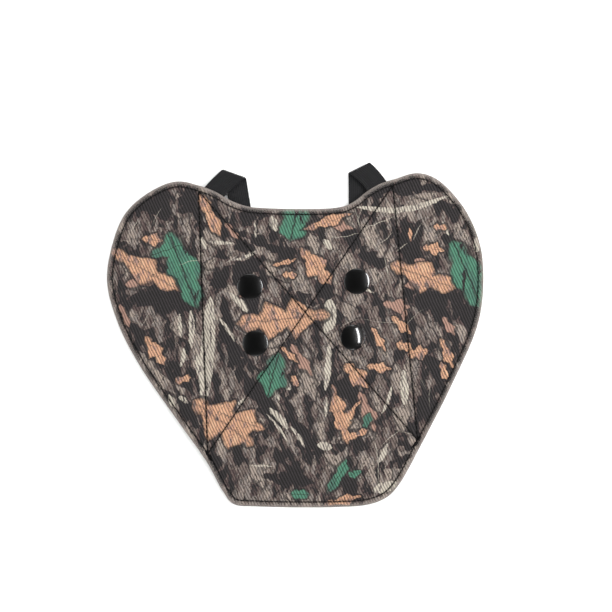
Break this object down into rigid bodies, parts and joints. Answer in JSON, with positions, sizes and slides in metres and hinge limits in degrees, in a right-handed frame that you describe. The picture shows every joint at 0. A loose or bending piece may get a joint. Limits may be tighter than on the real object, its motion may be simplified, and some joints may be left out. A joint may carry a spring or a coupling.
{
  "type": "camo face mask",
  "caption": "Lobed quilted cloth face mask in leaf camouflage, with fold-in wings, snap fasteners and elastic straps snapped onto its back.",
  "frame": {"origin": "under the middle of the whole object, on the surface that it lies on, back down", "axes": "+Z out of the panel's front, +Y towards the neck edge and the strap loops, +X towards the right wing as seen from the front"},
  "size_m": [0.2262, 0.2042, 0.0117],
  "materials": {
    "camo_cloth": "printed cotton twill, matt",
    "lining_cloth": "plain cotton twill, matt",
    "padding": "needled cotton wadding",
    "thread": "spun polyester sewing thread",
    "elastic": "ribbed woven elastic",
    "snap_resin": "moulded, high gloss"
  },
  "bodies": {
    "centre": {"front_cloth_centre": "camo_cloth", "padding_centre": "padding", "lining_centre": "lining_cloth", "edge_stitch_neck": "thread", "edge_stitch_hem": "thread", "cross_stitch": "thread", "fold_stitch_left": "thread", "fold_stitch_right": "thread", "snap_cap_upper_left": "snap_resin", "snap_cap_upper_right": "snap_resin", "snap_cap_lower_left": "snap_resin", "snap_cap_lower_right": "snap_resin", "snap_socket_upper_left": "snap_resin", "snap_socket_upper_right": "snap_resin", "snap_socket_lower_left": "snap_resin", "snap_socket_lower_right": "snap_resin", "strap_tail_left": "elastic", "strap_tail_right": "elastic"},
    "left_wing": {"front_cloth_left_wing": "camo_cloth", "padding_left_wing": "padding", "lining_left_wing": "lining_cloth", "edge_stitch_left_wing": "thread"},
    "right_wing": {"front_cloth_right_wing": "camo_cloth", "padding_right_wing": "padding", "lining_right_wing": "lining_cloth", "edge_stitch_right_wing": "thread"},
    "left_strap": {"strap_run_left": "elastic", "strap_stud_left": "snap_resin", "strap_cap_left": "snap_resin"},
    "right_strap": {"strap_run_right": "elastic", "strap_stud_right": "snap_resin", "strap_cap_right": "snap_resin"}
  },
  "joints": [
    {"name": "left_wing_fold", "type": "hinge", "parent": "centre", "child": "left_wing", "pos_m": [-0.05644, 0.00517, 0.0044], "axis": [0, 1, 0], "range_deg": [-90, 90]},
    {"name": "right_wing_fold", "type": "hinge", "parent": "centre", "child": "right_wing", "pos_m": [0.06556, 0.00517, 0.0044], "axis": [0.0628, -0.998, 0], "range_deg": [-90, 90]},
    {"name": "left_strap_swing", "type": "hinge", "parent": "centre", "child": "left_strap", "pos_m": [-0.03617, 0.09959, 0.00323], "axis": [0.9284, -0.3715, 0], "range_deg": [0, 165]},
    {"name": "right_strap_swing", "type": "hinge", "parent": "centre", "child": "right_strap", "pos_m": [0.03879, 0.09916, 0.00323], "axis": [0.9097, 0.4152, 0], "range_deg": [0, 150]}
  ]
}
